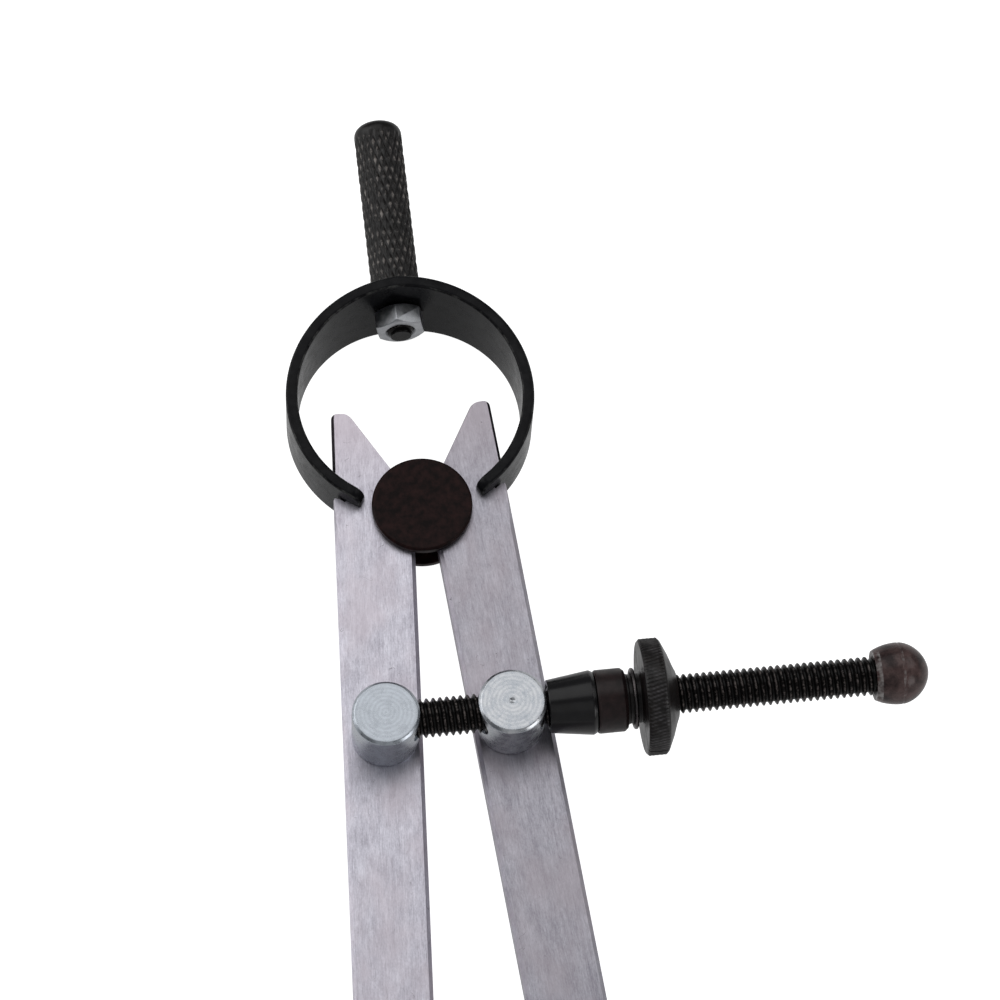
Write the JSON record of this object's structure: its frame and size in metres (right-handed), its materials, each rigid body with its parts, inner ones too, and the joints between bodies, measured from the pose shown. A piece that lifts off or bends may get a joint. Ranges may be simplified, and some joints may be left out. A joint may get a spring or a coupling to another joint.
{
  "type": "bow-spring divider",
  "caption": "Bow-spring divider: two flat pointed steel legs on a spool, C-shaped spring, knurled handle, and a screw with a quick-adjusting nut that sets the opening.",
  "frame": {"origin": "centre of the spool's back face, on the fulcrum axis", "axes": "the divider lies flat: +X right along the adjusting screw, +Y from the fulcrum to the handle, +Z out of the front; the fulcrum axis is Z"},
  "size_m": [0.0901, 0.2503, 0.0241],
  "materials": {
    "leg_steel": "lengthwise brushed, bright, slight lilac cast",
    "zinc": "zinc plated, turned rings",
    "black_spring": "black satin, worn along the edges",
    "brown_black": "brown-black oxide, satin",
    "gloss_black": "glossy black"
  },
  "bodies": {
    "head": {"fulcrum_spool": "brown_black", "bow_spring": "black_spring", "handle": "brown_black", "handle_nut": "zinc"},
    "left_leg": {"left_leg": "leg_steel"},
    "right_leg": {"right_leg": "leg_steel"},
    "screw_post": {"left_post": "zinc", "left_post_washer": "zinc", "adjusting_screw": "gloss_black", "screw_ball": "brown_black"},
    "nut_post": {"right_post": "zinc", "right_post_washer": "zinc", "nut_sleeve": "gloss_black"},
    "nut_seat": {"nut_collar": "brown_black"},
    "nut": {"nut_half_front": "brown_black", "nut_half_back": "brown_black", "nut_ring": "zinc"}
  },
  "joints": [
    {"name": "nut_spin", "type": "hinge", "parent": "nut_seat", "child": "nut", "pos_m": [0.00928, -0.03585, 0.01055], "axis": [1, 0, 0], "range_deg": [-1808, 9808]},
    {"name": "nut_release", "type": "slide", "parent": "nut_post", "child": "nut_seat", "axis": [1, 0, 0], "range_m": [0, 0.002]},
    {"name": "left_leg_swing", "type": "hinge", "parent": "head", "child": "left_leg", "pos_m": [0, 0, 0.00335], "axis": [0, 0, -1], "range_deg": [-4.3, 23.3], "deforming": ["bow_spring"]},
    {"name": "right_leg_swing", "type": "hinge", "parent": "head", "child": "right_leg", "pos_m": [0, 0, 0.00335], "axis": [0, 0, 1], "range_deg": [-4.3, 23.3], "deforming": ["bow_spring"]},
    {"name": "screw_post_swivel", "type": "hinge", "parent": "left_leg", "child": "screw_post", "pos_m": [-0.00928, -0.03585, 0.00335], "axis": [0, 0, 1], "range_deg": [-4.3, 23.3]},
    {"name": "nut_post_swivel", "type": "hinge", "parent": "right_leg", "child": "nut_post", "pos_m": [0.00928, -0.03585, 0.00335], "axis": [0, 0, -1], "range_deg": [-4.3, 23.3]}
  ],
  "couplings": [
    {"joint": "left_leg_swing", "follows": "nut_spin", "ratio": 0.002375},
    {"joint": "right_leg_swing", "follows": "nut_spin", "ratio": 0.002375},
    {"joint": "screw_post_swivel", "follows": "nut_spin", "ratio": 0.002375},
    {"joint": "nut_post_swivel", "follows": "nut_spin", "ratio": 0.002375}
  ]
}
